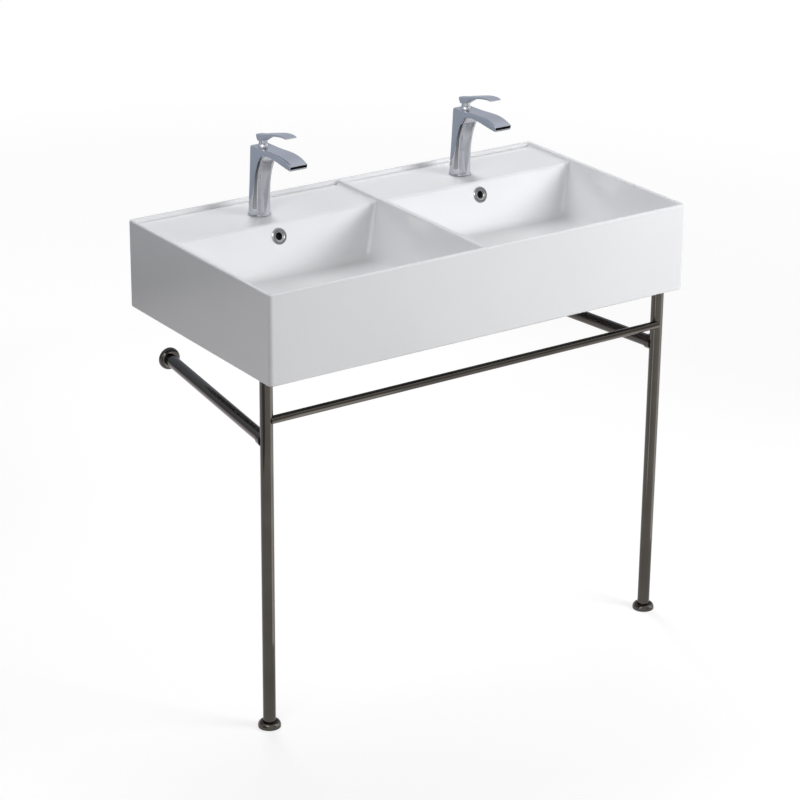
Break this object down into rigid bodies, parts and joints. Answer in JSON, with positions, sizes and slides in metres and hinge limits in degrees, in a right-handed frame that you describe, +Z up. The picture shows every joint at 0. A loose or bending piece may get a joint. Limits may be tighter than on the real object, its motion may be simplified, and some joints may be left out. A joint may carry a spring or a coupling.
{
  "type": "double console basin",
  "caption": "Rectangular white ceramic double basin with a lever mixer per bowl, carried by the wall and by slim round front legs with side rails and a towel bar.",
  "frame": {"origin": "middle of the line between the basin's two wall bolt holes, on the wall plane, 819 mm above the floor", "axes": "+Y into the wall, -Y to the front, +X to the right seen from the front, +Z up"},
  "size_m": [0.971, 0.516, 1.0785],
  "materials": {
    "ceramic": "white glossy glaze",
    "chrome": "polished",
    "dark_chrome": "polished, dark",
    "rubber": "matt",
    "brass": "machined",
    "steel": "zinc plated",
    "black_nylon": "matt",
    "white_nylon": "matt"
  },
  "bodies": {
    "basin_and_stand": {"basin": "ceramic", "wall_sleeves": "white_nylon", "overflow_ring_left": "chrome", "overflow_ring_right": "chrome", "waste_body_left": "chrome", "waste_body_right": "chrome", "waste_core_left": "black_nylon", "waste_core_right": "black_nylon", "waste_top_gaskets": "rubber", "waste_low_gaskets": "rubber", "waste_lock_nuts": "brass", "tailpiece_left": "chrome", "tailpiece_right": "chrome", "tap_body_left": "chrome", "tap_body_right": "chrome", "tap_base_rings": "chrome", "tap_base_gaskets": "rubber", "cartridge_left": "white_nylon", "cartridge_right": "white_nylon", "dome_nut_left": "chrome", "dome_nut_right": "chrome", "aerator_left": "chrome", "aerator_right": "chrome", "tap_studs": "steel", "tap_horseshoe_rubbers": "rubber", "tap_horseshoes": "steel", "tap_nuts": "brass", "leg_left": "dark_chrome", "leg_right": "dark_chrome", "side_rail_left": "dark_chrome", "side_rail_right": "dark_chrome", "rail_collars": "dark_chrome", "towel_bar": "dark_chrome", "foot_domes": "dark_chrome", "foot_plugs": "black_nylon", "foot_screws": "steel", "foot_pads": "rubber", "leg_top_plugs": "black_nylon", "leg_top_studs": "steel", "leg_top_pads": "rubber", "leg_inserts": "white_nylon", "wall_domes": "dark_chrome", "wall_plates": "steel"},
    "swivel_left": {"carrier_left": "white_nylon", "pivot_pin_left": "steel"},
    "handle_left": {"lever_stem_left": "steel", "lever_left": "chrome", "grub_screw_left": "steel"},
    "plug_left": {"waste_plug_left": "chrome", "plug_seal_left": "rubber"},
    "swivel_right": {"carrier_right": "white_nylon", "pivot_pin_right": "steel"},
    "handle_right": {"lever_stem_right": "steel", "lever_right": "chrome", "grub_screw_right": "steel"},
    "plug_right": {"waste_plug_right": "chrome", "plug_seal_right": "rubber"}
  },
  "joints": [
    {"name": "tap_turn_left", "type": "hinge", "parent": "basin_and_stand", "child": "swivel_left", "pos_m": [-0.24075, -0.105, 0.215], "axis": [0, 0, 1], "range_deg": [-45, 45]},
    {"name": "tap_lift_left", "type": "hinge", "parent": "swivel_left", "child": "handle_left", "pos_m": [-0.24075, -0.105, 0.215], "axis": [-1, 0, 0], "range_deg": [0, 20]},
    {"name": "plug_click_left", "type": "slide", "parent": "basin_and_stand", "child": "plug_left", "axis": [0, 0, 1], "range_m": [0, 0.008]},
    {"name": "tap_turn_right", "type": "hinge", "parent": "basin_and_stand", "child": "swivel_right", "pos_m": [0.24075, -0.105, 0.215], "axis": [0, 0, 1], "range_deg": [-45, 45]},
    {"name": "tap_lift_right", "type": "hinge", "parent": "swivel_right", "child": "handle_right", "pos_m": [0.24075, -0.105, 0.215], "axis": [-1, 0, 0], "range_deg": [0, 20]},
    {"name": "plug_click_right", "type": "slide", "parent": "basin_and_stand", "child": "plug_right", "axis": [0, 0, 1], "range_m": [0, 0.008]}
  ]
}
